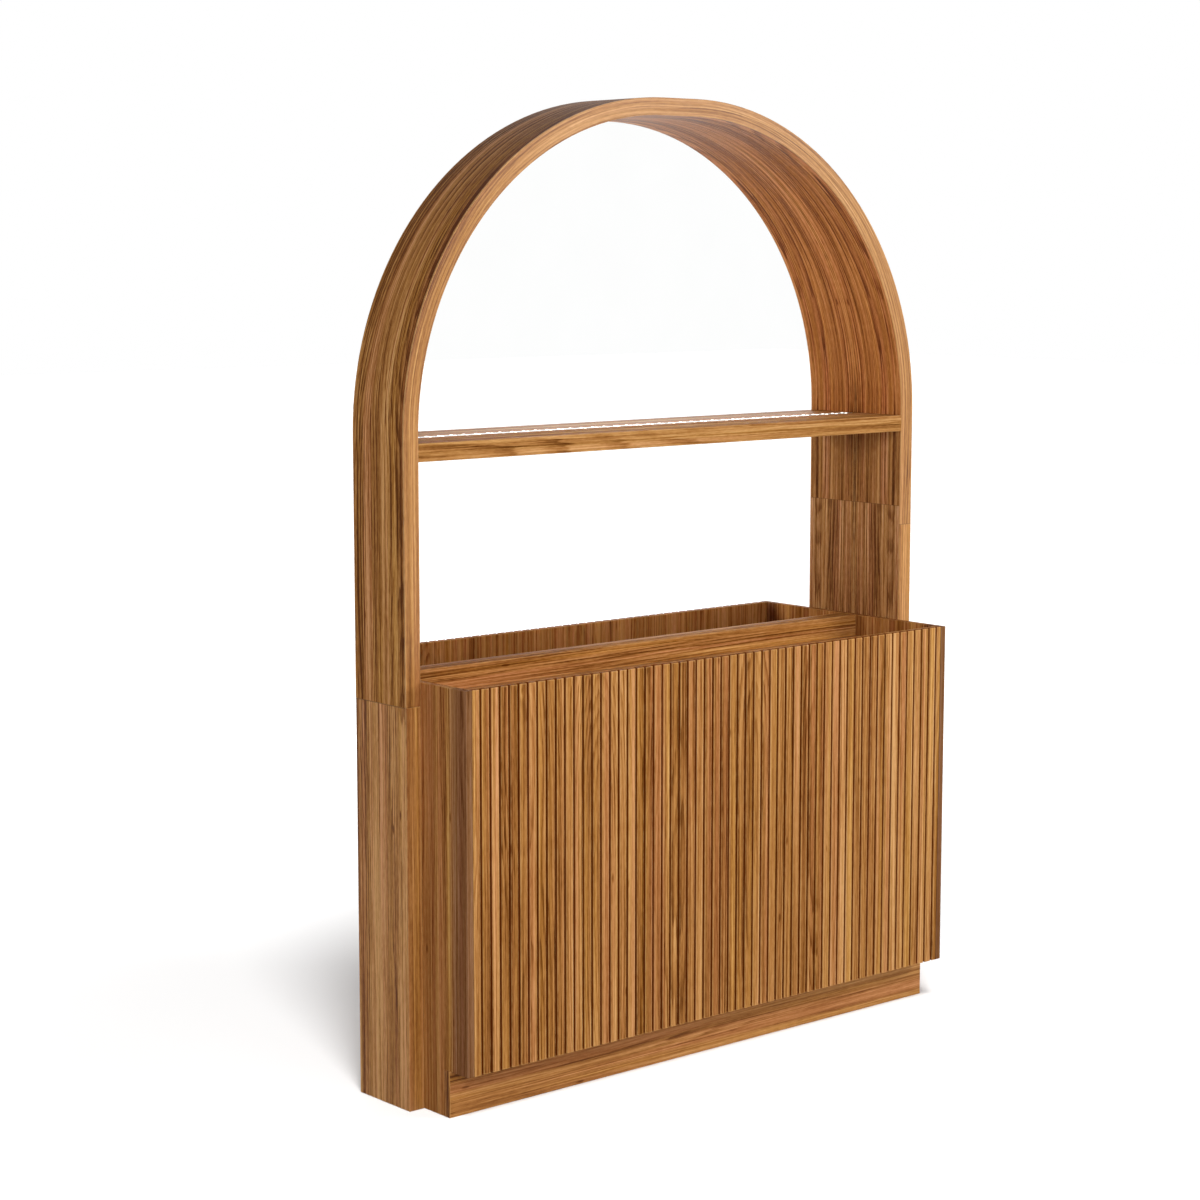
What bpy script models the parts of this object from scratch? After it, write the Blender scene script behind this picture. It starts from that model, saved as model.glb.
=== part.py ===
"""Back bar: an arched, mirrored upper unit with one lit shelf, standing on a box base with a fluted front.

The frame is +Z up with the front towards -Y. The origin is on the floor, in the middle of the width and depth.
"""
import math

import bmesh
import bpy
from mathutils import Vector

# Overall form, in metres
OVERALL_WIDTH = 1.524
OVERALL_HEIGHT = 2.1336
LEG_DEPTH = 0.1778
BOX_FORWARD = 0.1524
CROWN_FLAT = 0.1016
SEAM_HEIGHT = 0.8636
RIM_UPSTAND = 0.0508
TOE_HEIGHT = 0.1016
TOE_RECESS = 0.0635

# Board thicknesses
PLY_THICK = 0.01905
EDGING_THICK = 0.0032
BACK_THICK = 0.01905
GLASS_THICK = 0.006
END_THICK = 0.0159
FRONT_THICK = 0.01905
PLINTH_THICK = 0.018
DECK_THICK = 0.018
WORKTOP_THICK = 0.01905
DIVIDER_THICK = 0.018
RAIL_THICK = 0.0254
SHELF_THICK = 0.0381
STRETCHER_THICK = 0.018
STRETCHER_HEIGHT = 0.07
CLEAT_SIZE = 0.02

# Flutes of the front board
FLUTE_PITCH = 0.02504
FLUTE_WIDTH = 0.0058
FLUTE_DEPTH = 0.0095
NARROWEST_SLAT = 0.008
SLAT_EASE = 0.001

# Shelf, its housing in the arch and its light
SHELF_DROP = 0.0127
HOUSING_DEPTH = 0.00635
GLASS_LAP = 0.008
LEDGE_HEIGHT = 0.0127
LED_REBATE_WIDTH = 0.0125
LED_REBATE_DEPTH = 0.003
LED_END_MARGIN = 0.012
CHANNEL_WALL = 0.0008
TAPE_WIDTH = 0.005
TAPE_THICK = 0.0008
LED_PITCH = 1 / 30
LED_LENGTH = 0.005
LED_HEIGHT = 0.0018

# Fixings and fittings inside the base
BOLT_RADIUS = 0.004
BOLT_HEAD_RADIUS = 0.0075
BOLT_HEAD_HEIGHT = 0.004
BOLT_BITE = 0.022
BOLT_INSET = 0.045
BOLT_HEIGHTS = (0.24, 0.72)
DOWEL_RADIUS = 0.00475
DOWEL_REACH = 0.03
DOWEL_INSET = 0.04
DRIVER_LENGTH = 0.18
DRIVER_DEPTH = 0.055
DRIVER_HEIGHT = 0.032
DRIVER_INSET = 0.26
GROMMET_INSET = 0.11
GROMMET_HEIGHT = 0.2
GROMMET_BORE = 0.016
GROMMET_SLEEVE = 0.02
GROMMET_FLANGE = 0.025
GROMMET_FLANGE_THICK = 0.003

# Fits and finish
JOINT_GAP = 0.0003
LIFT_GAP = 0.0005
ARRIS = 0.0008
SHELF_EASE = 0.0015
RAIL_EASE = 0.002
ARC_STEPS = 40
TURN_STEPS = 20

# Planes that follow from the sizes above
HALF_WIDTH = OVERALL_WIDTH / 2
INNER_HALF = HALF_WIDTH - 2 * PLY_THICK
END_OUTER = INNER_HALF - JOINT_GAP
END_INNER = END_OUTER - END_THICK
BOX_HALF = END_INNER - JOINT_GAP
CROWN_RADIUS = HALF_WIDTH - CROWN_FLAT / 2
SPRING = OVERALL_HEIGHT - CROWN_RADIUS
RIM_HEIGHT = SEAM_HEIGHT + RIM_UPSTAND
SHELF_TOP = SPRING - SHELF_DROP
SHELF_BOTTOM = SHELF_TOP - SHELF_THICK
WORKTOP_BOTTOM = SEAM_HEIGHT - WORKTOP_THICK

BOX_FRONT = -(LEG_DEPTH + BOX_FORWARD) / 2
FRONT_BACK = BOX_FRONT + FRONT_THICK
PLINTH_FRONT = BOX_FRONT + TOE_RECESS
PLINTH_BACK = PLINTH_FRONT + PLINTH_THICK
LEG_FRONT = BOX_FRONT + BOX_FORWARD
LEG_BACK = LEG_FRONT + LEG_DEPTH
EDGING_BACK = LEG_FRONT + EDGING_THICK
PLY_FRONT = EDGING_BACK + JOINT_GAP
BACK_FACE = LEG_BACK - BACK_THICK
GLASS_BACK = BACK_FACE - JOINT_GAP
GLASS_FACE = GLASS_BACK - GLASS_THICK
INNER_PLY_BACK = GLASS_FACE - JOINT_GAP
RIM_BACK = GLASS_FACE - LIFT_GAP
RAIL_FRONT = RIM_BACK - RAIL_THICK
BOX_BACK = BACK_FACE - JOINT_GAP

# Finishes: base colour, roughness, metallic
FINISHES = {
    "veneer": ((0.40, 0.165, 0.048), 0.42, 0.0),
    "carcase": ((0.50, 0.31, 0.15), 0.6, 0.0),
    "back": ((0.26, 0.115, 0.042), 0.55, 0.0),
    "silvered": ((0.92, 0.93, 0.93), 0.02, 1.0),
    "aluminium": ((0.75, 0.76, 0.77), 0.35, 1.0),
    "led": ((0.95, 0.94, 0.90), 0.4, 0.0),
    "zinc": ((0.62, 0.62, 0.60), 0.35, 1.0),
    "beech": ((0.60, 0.38, 0.20), 0.6, 0.0),
    "black": ((0.02, 0.02, 0.02), 0.5, 0.0),
}
SHARP_ANGLE = math.radians(30)


def clear_scene():
    for obj in list(bpy.data.objects):
        bpy.data.objects.remove(obj, do_unlink=True)


def unit(name, height):
    """An empty that carries one of the two units."""
    empty = bpy.data.objects.new(name, None)
    empty.location = (0.0, 0.0, height)
    bpy.context.scene.collection.objects.link(empty)
    return empty


def add_finish(obj, kind):
    colour, roughness, metallic = FINISHES[kind]
    material = bpy.data.materials.new(obj.name + "_finish")
    material.use_nodes = True
    shader = material.node_tree.nodes["Principled BSDF"]
    shader.inputs["Base Color"].default_value = (*colour, 1.0)
    shader.inputs["Roughness"].default_value = roughness
    shader.inputs["Metallic"].default_value = metallic
    obj.data.materials.append(material)


def piece(name, kind, carrier, bm, place):
    """Make the finished bmesh a named object that rides on its unit."""
    bmesh.ops.recalc_face_normals(bm, faces=bm.faces)
    mesh = bpy.data.meshes.new(name)
    bm.to_mesh(mesh)
    bm.free()
    mesh.shade_smooth()
    mesh.set_sharp_from_angle(angle=SHARP_ANGLE)
    obj = bpy.data.objects.new(name, mesh)
    bpy.context.scene.collection.objects.link(obj)
    obj.parent = carrier
    obj.location = Vector(place) - carrier.location
    add_finish(obj, kind)
    return obj


def ease(bm, edges, width=ARRIS, facets=2):
    """Round the given edges by small facets."""
    bmesh.ops.bevel(
        bm, geom=edges, offset=width, offset_type="OFFSET", segments=facets, profile=0.5, affect="EDGES"
    )


def board(name, kind, carrier, low, high, eased=ARRIS):
    """A rectangular board between two opposite corners, with eased edges."""
    size = [b - a for a, b in zip(low, high)]
    middle = [(a + b) / 2 for a, b in zip(low, high)]
    bm = bmesh.new()
    bmesh.ops.create_cube(bm, size=1.0)
    bmesh.ops.scale(bm, vec=size, verts=bm.verts)
    ease(bm, bm.edges[:], eased)
    return piece(name, kind, carrier, bm, middle)


def prism_mesh(outline, axis, start, end):
    """A closed outline carried along one axis; the outline's two numbers are the other two axes in order."""
    bm = bmesh.new()
    ring = []
    for point in outline:
        corner = list(point)
        corner.insert(axis, start)
        ring.append(bm.verts.new(corner))
    cap = bm.faces.new(ring)
    grown = bmesh.ops.extrude_face_region(bm, geom=[cap])
    far = [item for item in grown["geom"] if isinstance(item, bmesh.types.BMVert)]
    travel = [0.0, 0.0, 0.0]
    travel[axis] = end - start
    bmesh.ops.translate(bm, vec=travel, verts=far)
    return bm


def edges_at(bm, axis, level):
    """Edges that lie in the plane of one end of a prism."""
    return [
        edge for edge in bm.edges
        if all(abs(vert.co[axis] - level) < 1e-7 for vert in edge.verts)
    ]


def turned_mesh(profile, closed):
    """A profile of (radius, height) turned about Z, with flat ends or, when closed, as a ring."""
    bm = bmesh.new()
    rings = []
    for radius, height in profile:
        ring = []
        for step in range(TURN_STEPS):
            angle = 2 * math.pi * step / TURN_STEPS
            ring.append(bm.verts.new((radius * math.cos(angle), radius * math.sin(angle), height)))
        rings.append(ring)
    pairs = list(zip(rings, rings[1:]))
    if closed:
        pairs.append((rings[-1], rings[0]))
    else:
        bm.faces.new(rings[0])
        bm.faces.new(rings[-1])
    for lower, upper in pairs:
        for step in range(TURN_STEPS):
            after = (step + 1) % TURN_STEPS
            bm.faces.new((lower[step], lower[after], upper[after], upper[step]))
    return bm


def cut(target, name, bm, place, turn=(0.0, 0.0, 0.0)):
    """Take the given shape out of a piece."""
    bmesh.ops.recalc_face_normals(bm, faces=bm.faces)
    mesh = bpy.data.meshes.new(name)
    bm.to_mesh(mesh)
    bm.free()
    cutter = bpy.data.objects.new(name, mesh)
    cutter.location = place
    cutter.rotation_euler = turn
    cutter.hide_render = True
    cutter.display_type = "WIRE"
    bpy.context.scene.collection.objects.link(cutter)
    modifier = target.modifiers.new(name, "BOOLEAN")
    modifier.operation = "DIFFERENCE"
    modifier.solver = "EXACT"
    modifier.object = cutter


def arch_line(inset, foot):
    """The arch outline set in from the outside, from the left foot over the flat crown to the right foot."""
    radius = CROWN_RADIUS - inset
    left = [(-HALF_WIDTH + inset, foot)]
    for step in range(ARC_STEPS + 1):
        angle = math.pi / 2 * step / ARC_STEPS
        left.append((-CROWN_FLAT / 2 - radius * math.cos(angle), SPRING + radius * math.sin(angle)))
    return left + [(-x, z) for x, z in reversed(left)]


def housed_line(foot):
    """The inner face of the arch with the two housings that take the shelf ends."""
    line = arch_line(2 * PLY_THICK, foot)
    low = SHELF_BOTTOM - JOINT_GAP
    high = SHELF_TOP + JOINT_GAP
    deep = INNER_HALF + HOUSING_DEPTH
    housing = [(-INNER_HALF, low), (-deep, low), (-deep, high), (-INNER_HALF, high)]
    return line[:1] + housing + line[1:-1] + [(-x, z) for x, z in reversed(housing)] + line[-1:]


def fluted_outline():
    """Plan of the front board: square flutes from the left, the last slat as wide as what is left."""
    points = [(-BOX_HALF, FRONT_BACK)]
    slat_start = -BOX_HALF
    while slat_start < BOX_HALF:
        slat_end = slat_start + FLUTE_PITCH - FLUTE_WIDTH
        last = BOX_HALF - slat_end - FLUTE_WIDTH < NARROWEST_SLAT
        if last:
            slat_end = BOX_HALF
        points += [
            (slat_start, BOX_FRONT + SLAT_EASE),
            (slat_start + SLAT_EASE, BOX_FRONT),
            (slat_end - SLAT_EASE, BOX_FRONT),
            (slat_end, BOX_FRONT + SLAT_EASE),
        ]
        if last:
            break
        slat_start = slat_end + FLUTE_WIDTH
        points += [(slat_end, BOX_FRONT + FLUTE_DEPTH), (slat_start, BOX_FRONT + FLUTE_DEPTH)]
    points.append((BOX_HALF, FRONT_BACK))
    return points


def end_outline():
    """Side view of an end panel, with the toe notch and the step that clears the glass."""
    return [
        (BOX_FRONT, RIM_HEIGHT),
        (RIM_BACK, RIM_HEIGHT),
        (RIM_BACK, SEAM_HEIGHT),
        (BOX_BACK, SEAM_HEIGHT),
        (BOX_BACK, 0.0),
        (PLINTH_BACK + JOINT_GAP, 0.0),
        (PLINTH_BACK + JOINT_GAP, TOE_HEIGHT),
        (BOX_FRONT, TOE_HEIGHT),
    ]


def tape_outline(half_length, bottom):
    """Front view of the LED tape with its row of chips."""
    top = bottom + TAPE_THICK
    count = int(2 * half_length / LED_PITCH)
    first = -(count - 1) * LED_PITCH / 2
    points = [(half_length, bottom), (-half_length, bottom), (-half_length, top)]
    for index in range(count):
        middle = first + index * LED_PITCH
        start = middle - LED_LENGTH / 2
        end = middle + LED_LENGTH / 2
        points += [(start, top), (start, top + LED_HEIGHT), (end, top + LED_HEIGHT), (end, top)]
    points.append((half_length, top))
    return points


def make_legs(base):
    """Lower legs with their front edging; the bolt and dowel holes follow with the fixings."""
    legs = {}
    for side, name in ((-1, "left"), (1, "right")):
        near, far = sorted((side * INNER_HALF, side * HALF_WIDTH))
        legs[side] = board(
            name + "_lower_leg", "veneer", base, (near, PLY_FRONT, 0.0), (far, LEG_BACK, SEAM_HEIGHT)
        )
        bm = prism_mesh(
            [(near, 0.0), (far, 0.0), (far, SEAM_HEIGHT), (near, SEAM_HEIGHT)], 1, LEG_FRONT, EDGING_BACK
        )
        ease(bm, edges_at(bm, 1, LEG_FRONT))
        piece(name + "_leg_edging", "veneer", base, bm, (0.0, 0.0, 0.0))
    return legs


def make_box(base):
    """The box of the base: end panels, fluted front, plinth, deck, worktop, rail and back."""
    ends = {}
    for side, name in ((-1, "left"), (1, "right")):
        start, end = sorted((side * END_INNER, side * END_OUTER))
        bm = prism_mesh(end_outline(), 0, start, end)
        ease(bm, edges_at(bm, 0, side * END_OUTER))
        ends[side] = piece(name + "_end_panel", "veneer", base, bm, (0.0, 0.0, 0.0))

    bm = prism_mesh(fluted_outline(), 2, TOE_HEIGHT, RIM_HEIGHT)
    ease(bm, edges_at(bm, 2, RIM_HEIGHT), facets=1)
    piece("fluted_front", "veneer", base, bm, (0.0, 0.0, 0.0))
    below_deck = TOE_HEIGHT - JOINT_GAP
    board(
        "plinth_board", "veneer", base,
        (-INNER_HALF, PLINTH_FRONT, 0.0), (INNER_HALF, PLINTH_BACK, below_deck),
    )
    board(
        "rear_plinth", "carcase", base,
        (-BOX_HALF, BOX_BACK - PLINTH_THICK, 0.0), (BOX_HALF, BOX_BACK, below_deck),
    )
    inside_front = FRONT_BACK + JOINT_GAP
    deck_top = TOE_HEIGHT + DECK_THICK
    board(
        "base_deck", "carcase", base,
        (-BOX_HALF, inside_front, TOE_HEIGHT), (BOX_HALF, BOX_BACK, deck_top),
    )
    board(
        "worktop", "veneer", base,
        (-BOX_HALF, inside_front, WORKTOP_BOTTOM), (BOX_HALF, RAIL_FRONT - JOINT_GAP, SEAM_HEIGHT),
    )
    board(
        "rear_rail", "veneer", base,
        (-BOX_HALF, RAIL_FRONT, WORKTOP_BOTTOM), (BOX_HALF, RIM_BACK, RIM_HEIGHT), RAIL_EASE,
    )
    below_top = WORKTOP_BOTTOM - JOINT_GAP
    stretcher_back = inside_front + STRETCHER_THICK
    board(
        "front_stretcher", "carcase", base,
        (-BOX_HALF, inside_front, below_top - STRETCHER_HEIGHT), (BOX_HALF, stretcher_back, below_top),
    )
    behind_stretcher = stretcher_back + JOINT_GAP
    board(
        "centre_divider", "carcase", base,
        (-DIVIDER_THICK / 2, behind_stretcher, deck_top + JOINT_GAP),
        (DIVIDER_THICK / 2, BOX_BACK, below_top),
    )
    for side, name in ((-1, "left"), (1, "right")):
        near, far = sorted((side * (BOX_HALF - CLEAT_SIZE), side * BOX_HALF))
        board(
            name + "_worktop_cleat", "carcase", base,
            (near, behind_stretcher, below_top - CLEAT_SIZE), (far, BOX_BACK, below_top),
        )
        board(
            name + "_deck_cleat", "carcase", base,
            (near, PLINTH_BACK + JOINT_GAP, below_deck - CLEAT_SIZE),
            (far, BOX_BACK - PLINTH_THICK - JOINT_GAP, below_deck),
        )
    back = board(
        "base_back", "back", base, (-END_OUTER, BACK_FACE, 0.0), (END_OUTER, LEG_BACK, SEAM_HEIGHT)
    )
    return ends, back


def make_fixings(base, legs, ends):
    """Bolts that hold each lower leg to its end panel, and the dowels that locate the arch."""
    shank = END_INNER - JOINT_GAP
    reach = INNER_HALF + BOLT_BITE - shank
    for side, name in ((-1, "left"), (1, "right")):
        turn = (0.0, side * math.pi / 2, 0.0)
        number = 0
        for depth in (LEG_FRONT + BOLT_INSET, BACK_FACE - BOLT_INSET):
            for height in BOLT_HEIGHTS:
                number += 1
                place = (side * shank, depth, height)
                bm = turned_mesh(
                    [
                        (BOLT_HEAD_RADIUS, -BOLT_HEAD_HEIGHT),
                        (BOLT_HEAD_RADIUS, 0.0),
                        (BOLT_RADIUS, 0.0),
                        (BOLT_RADIUS, reach),
                    ],
                    closed=False,
                )
                bolt = piece(f"{name}_leg_bolt_{number}", "zinc", base, bm, place)
                bolt.rotation_euler = turn
                wide = BOLT_RADIUS + JOINT_GAP
                for target in (ends[side], legs[side]):
                    hole = turned_mesh([(wide, -JOINT_GAP), (wide, reach + JOINT_GAP)], closed=False)
                    cut(target, f"{target.name}_bolt_hole_{number}", hole, place, turn)


def make_dowels(base, legs, inner_ply):
    """Four dowels glued in the lower legs; the arch drops over them."""
    wide = DOWEL_RADIUS + JOINT_GAP
    for side, name in ((-1, "left"), (1, "right")):
        across = side * (INNER_HALF + PLY_THICK / 2)
        for end, depth in (("front", PLY_FRONT + DOWEL_INSET), ("rear", INNER_PLY_BACK - DOWEL_INSET)):
            place = (across, depth, SEAM_HEIGHT)
            tip = DOWEL_RADIUS - ARRIS
            bm = turned_mesh(
                [
                    (tip, -DOWEL_REACH),
                    (DOWEL_RADIUS, ARRIS - DOWEL_REACH),
                    (DOWEL_RADIUS, DOWEL_REACH - ARRIS),
                    (tip, DOWEL_REACH),
                ],
                closed=False,
            )
            piece(f"{name}_{end}_dowel", "beech", base, bm, place)
            for target in (legs[side], inner_ply):
                reach = DOWEL_REACH + JOINT_GAP
                hole = turned_mesh([(wide, -reach), (wide, reach)], closed=False)
                cut(target, f"{target.name}_{name}_{end}_dowel_hole", hole, place)


def make_power(base, back):
    """LED driver on the deck and the cable grommet flush in the back panel."""
    floor = TOE_HEIGHT + DECK_THICK + JOINT_GAP
    rear = BOX_BACK - DRIVER_DEPTH
    driver_middle = BOX_HALF - DRIVER_INSET
    board(
        "led_driver", "black", base,
        (driver_middle - DRIVER_LENGTH / 2, rear - DRIVER_DEPTH, floor),
        (driver_middle + DRIVER_LENGTH / 2, rear, floor + DRIVER_HEIGHT),
    )
    place = (BOX_HALF - GROMMET_INSET, LEG_BACK, GROMMET_HEIGHT)
    turn = (math.pi / 2, 0.0, 0.0)
    ring = [
        (GROMMET_BORE, 0.0),
        (GROMMET_FLANGE, 0.0),
        (GROMMET_FLANGE, GROMMET_FLANGE_THICK),
        (GROMMET_SLEEVE, GROMMET_FLANGE_THICK),
        (GROMMET_SLEEVE, BACK_THICK),
        (GROMMET_BORE, BACK_THICK),
    ]
    grommet = piece("cable_grommet", "black", base, turned_mesh(ring, closed=True), place)
    grommet.rotation_euler = turn
    seat = [
        (GROMMET_FLANGE + JOINT_GAP, -JOINT_GAP),
        (GROMMET_FLANGE + JOINT_GAP, GROMMET_FLANGE_THICK + JOINT_GAP),
        (GROMMET_SLEEVE + JOINT_GAP, GROMMET_FLANGE_THICK + JOINT_GAP),
        (GROMMET_SLEEVE + JOINT_GAP, BACK_THICK + JOINT_GAP),
    ]
    cut(back, "grommet_seat", turned_mesh(seat, closed=False), place, turn)


def make_arch(upper):
    """Two bent laminations, the front edging over their edges, and the back board in their rebate."""
    foot = SEAM_HEIGHT + JOINT_GAP
    origin = (0.0, 0.0, SEAM_HEIGHT)

    def arched(name, kind, outer, inner, start, end, eased):
        outline = outer + inner[::-1]
        low = [(x, z - SEAM_HEIGHT) for x, z in outline]
        bm = prism_mesh(low, 1, start, end)
        if eased:
            ease(bm, edges_at(bm, 1, start))
        return piece(name, kind, upper, bm, origin)

    outside = arch_line(0.0, foot)
    arched(
        "arch_outer_lamination", "veneer", outside, arch_line(PLY_THICK, foot), PLY_FRONT, LEG_BACK, False
    )
    inner_ply = arched(
        "arch_inner_lamination", "veneer", arch_line(PLY_THICK + JOINT_GAP, foot), housed_line(foot),
        PLY_FRONT, INNER_PLY_BACK, False,
    )
    arched(
        "arch_front_edging", "veneer", outside, arch_line(2 * PLY_THICK, foot), LEG_FRONT, EDGING_BACK, True
    )
    arched(
        "back_board", "back", arch_line(PLY_THICK + JOINT_GAP, foot), [], BACK_FACE, LEG_BACK, False
    )
    ledge_top = foot + LEDGE_HEIGHT
    arched(
        "mirror", "silvered", arch_line(2 * PLY_THICK - GLASS_LAP, ledge_top + JOINT_GAP), [],
        GLASS_FACE, GLASS_BACK, False,
    )
    board(
        "mirror_ledge", "carcase", upper, (-INNER_HALF, GLASS_FACE, foot), (INNER_HALF, GLASS_BACK, ledge_top)
    )
    return inner_ply


def make_shelf(upper):
    """Shelf with its ends housed in the arch, and the LED channel and tape along its back edge."""
    origin = (0.0, 0.0, SEAM_HEIGHT)
    shoulder = INNER_HALF - JOINT_GAP
    tongue = INNER_HALF + HOUSING_DEPTH - JOINT_GAP
    right = [
        (shoulder, LEG_FRONT),
        (shoulder, PLY_FRONT),
        (tongue, PLY_FRONT),
        (tongue, INNER_PLY_BACK),
    ]
    plan = right + [(-x, y) for x, y in reversed(right)]
    bm = prism_mesh(plan, 2, SHELF_BOTTOM - SEAM_HEIGHT, SHELF_TOP - SEAM_HEIGHT)
    ease(bm, edges_at(bm, 1, LEG_FRONT), SHELF_EASE)
    shelf = piece("display_shelf", "veneer", upper, bm, origin)

    rebate_half = shoulder - LED_END_MARGIN
    rebate_front = INNER_PLY_BACK - LED_REBATE_WIDTH
    rebate_floor = SHELF_TOP - LED_REBATE_DEPTH
    spare = LED_REBATE_WIDTH
    rebate = prism_mesh(
        [
            (rebate_front, rebate_floor),
            (INNER_PLY_BACK + spare, rebate_floor),
            (INNER_PLY_BACK + spare, SHELF_TOP + spare),
            (rebate_front, SHELF_TOP + spare),
        ],
        0, -rebate_half, rebate_half,
    )
    cut(shelf, "led_rebate", rebate, (0.0, 0.0, 0.0))

    front = rebate_front + JOINT_GAP
    back = INNER_PLY_BACK
    bottom = rebate_floor + JOINT_GAP - SEAM_HEIGHT
    top = SHELF_TOP - SEAM_HEIGHT
    floor = bottom + CHANNEL_WALL
    channel_half = rebate_half - JOINT_GAP
    channel = [
        (front, bottom),
        (back, bottom),
        (back, top),
        (back - CHANNEL_WALL, top),
        (back - CHANNEL_WALL, floor),
        (front + CHANNEL_WALL, floor),
        (front + CHANNEL_WALL, top),
        (front, top),
    ]
    piece("led_channel", "aluminium", upper, prism_mesh(channel, 0, -channel_half, channel_half), origin)
    middle = (front + back) / 2
    tape = prism_mesh(
        tape_outline(channel_half - JOINT_GAP, floor + JOINT_GAP), 1,
        middle - TAPE_WIDTH / 2, middle + TAPE_WIDTH / 2,
    )
    piece("led_tape", "led", upper, tape, origin)


clear_scene()
base_unit = unit("base_unit", 0.0)
upper_unit = unit("upper_unit", SEAM_HEIGHT)
lower_legs = make_legs(base_unit)
end_panels, base_back = make_box(base_unit)
make_fixings(base_unit, lower_legs, end_panels)
make_power(base_unit, base_back)
inner_lamination = make_arch(upper_unit)
make_dowels(base_unit, lower_legs, inner_lamination)
make_shelf(upper_unit)
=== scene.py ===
"""Looks of the back bar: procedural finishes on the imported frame, with studio floor, light and camera."""
import math

import bmesh
import bpy
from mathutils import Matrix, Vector


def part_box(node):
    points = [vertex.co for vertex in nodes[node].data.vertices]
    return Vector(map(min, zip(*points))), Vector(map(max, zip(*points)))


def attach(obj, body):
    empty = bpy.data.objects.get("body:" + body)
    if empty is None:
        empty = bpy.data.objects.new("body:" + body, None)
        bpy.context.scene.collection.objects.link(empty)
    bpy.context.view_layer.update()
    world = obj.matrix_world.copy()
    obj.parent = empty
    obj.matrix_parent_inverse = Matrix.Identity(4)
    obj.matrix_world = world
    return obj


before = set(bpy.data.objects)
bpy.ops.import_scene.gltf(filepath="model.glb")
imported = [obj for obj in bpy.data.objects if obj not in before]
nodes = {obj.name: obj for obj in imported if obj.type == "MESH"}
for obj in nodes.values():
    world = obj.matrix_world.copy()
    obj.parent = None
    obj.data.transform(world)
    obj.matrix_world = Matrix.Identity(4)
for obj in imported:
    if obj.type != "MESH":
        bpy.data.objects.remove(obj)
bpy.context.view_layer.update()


# Lower legs and their edging
# Two straight legs of thick plywood faced with warm brown veneer, grain upright, with a thin solid edging
# glued over each front edge and a satin lacquer over all. They stand on the floor, bolted to the end panels.
def feed(tree, socket, source):
    """Link a socket to another one, or set it to a plain value."""
    if isinstance(source, bpy.types.NodeSocket):
        tree.links.new(source, socket)
    elif socket.type == "RGBA":
        socket.default_value = (*source, 1.0)
    else:
        socket.default_value = source


def calc(tree, operation, *sources):
    """One arithmetic step on sockets or plain numbers."""
    node = tree.nodes.new("ShaderNodeMath")
    node.operation = operation
    for socket, source in zip(node.inputs, sources):
        feed(tree, socket, source)
    return node.outputs[0]


def calc_vector(tree, operation, *sources):
    """One arithmetic step on places, each a socket or a plain triple."""
    node = tree.nodes.new("ShaderNodeVectorMath")
    node.operation = operation
    for socket, source in zip(node.inputs, sources):
        feed(tree, socket, source)
    return node.outputs["Value" if operation == "LENGTH" else "Vector"]


def axes_of(tree, vector):
    node = tree.nodes.new("ShaderNodeSeparateXYZ")
    tree.links.new(vector, node.inputs[0])
    return node.outputs


def joined(tree, *values):
    node = tree.nodes.new("ShaderNodeCombineXYZ")
    for socket, value in zip(node.inputs, values):
        feed(tree, socket, value)
    return node.outputs[0]


def place_of(tree):
    """Where the shaded point is on the piece, in metres."""
    return tree.nodes.new("ShaderNodeTexCoord").outputs["Object"]


def spread(tree, source, low, high, new_low, new_high, smooth=True):
    """Carry a value from one span to another, held at the ends."""
    node = tree.nodes.new("ShaderNodeMapRange")
    node.interpolation_type = "SMOOTHSTEP" if smooth else "LINEAR"
    spans = {"Value": source, "From Min": low, "From Max": high, "To Min": new_low, "To Max": new_high}
    for name, value in spans.items():
        feed(tree, node.inputs[name], value)
    return node.outputs["Result"]


def mottle(tree, vector, stretch, detail, rough=0.5):
    """Noise with its own number of cycles per metre along, across and through the grain."""
    node = tree.nodes.new("ShaderNodeTexNoise")
    tree.links.new(calc_vector(tree, "MULTIPLY", vector, stretch), node.inputs["Vector"])
    for name, value in (("Scale", 1.0), ("Detail", detail), ("Roughness", rough)):
        node.inputs[name].default_value = value
    return node.outputs["Fac"]


def ramp(tree, source, stops):
    node = tree.nodes.new("ShaderNodeValToRGB")
    while len(node.color_ramp.elements) < len(stops):
        node.color_ramp.elements.new(0.5)
    for element, (place, colour) in zip(node.color_ramp.elements, stops):
        element.position = place
        element.color = (*colour, 1.0)
    tree.links.new(source, node.inputs[0])
    return node.outputs[0]


def blend(tree, amount, first, second, mode="MIX"):
    """Mix two colours, each a socket or a plain colour."""
    node = tree.nodes.new("ShaderNodeMix")
    node.data_type = "RGBA"
    node.blend_type = mode
    sources = {"Factor": amount, "A": first, "B": second}
    for socket in node.inputs:
        if socket.enabled and socket.name in sources:
            feed(tree, socket, sources[socket.name])
    return next(socket for socket in node.outputs if socket.enabled)


def new_group(name, takes, gives):
    """An empty node group with its named sockets."""
    tree = bpy.data.node_groups.new(name, "ShaderNodeTree")
    for socket, kind in takes:
        tree.interface.new_socket(socket, in_out="INPUT", socket_type="NodeSocket" + kind)
    for socket, kind in gives:
        tree.interface.new_socket(socket, in_out="OUTPUT", socket_type="NodeSocket" + kind)
    return tree, tree.nodes.new("NodeGroupInput").outputs, tree.nodes.new("NodeGroupOutput").inputs


def add_group(tree, group, **values):
    """Place a node group and set its inputs from sockets or plain values."""
    node = tree.nodes.new("ShaderNodeGroup")
    node.node_tree = group
    for name, value in values.items():
        feed(tree, node.inputs[name], value)
    return node.outputs


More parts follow.
